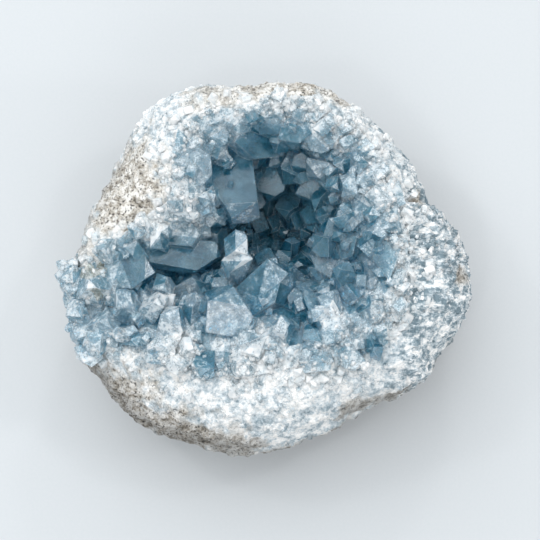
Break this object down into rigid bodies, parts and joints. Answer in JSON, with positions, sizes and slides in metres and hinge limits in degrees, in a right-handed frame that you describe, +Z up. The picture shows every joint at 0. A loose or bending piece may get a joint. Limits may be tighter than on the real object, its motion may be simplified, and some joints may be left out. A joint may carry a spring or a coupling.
{
  "type": "celestite geode",
  "caption": "Half geode: a lumpy bowl of pale host rock whose open hollow is lined with a crust of pale blue celestite crystals; lies on a small flat spot.",
  "frame": {"origin": "middle of the geode's plan, at the height of the flat spot underneath that it rests on", "axes": "+X along the longest side, away from the broken left edge; +Y towards the steep wall of the hollow; +Z up, out of the hollow"},
  "size_m": [0.1508, 0.1358, 0.0753],
  "materials": {
    "host_rock": "rough granular rock, white where it is fresh, with a thin beige weathered skin",
    "celestite": "clear to milky pale blue crystal with glossy flat faces"
  },
  "bodies": {
    "root": {"rind": "host_rock", "crystal_crust": "celestite"}
  },
  "joints": []
}
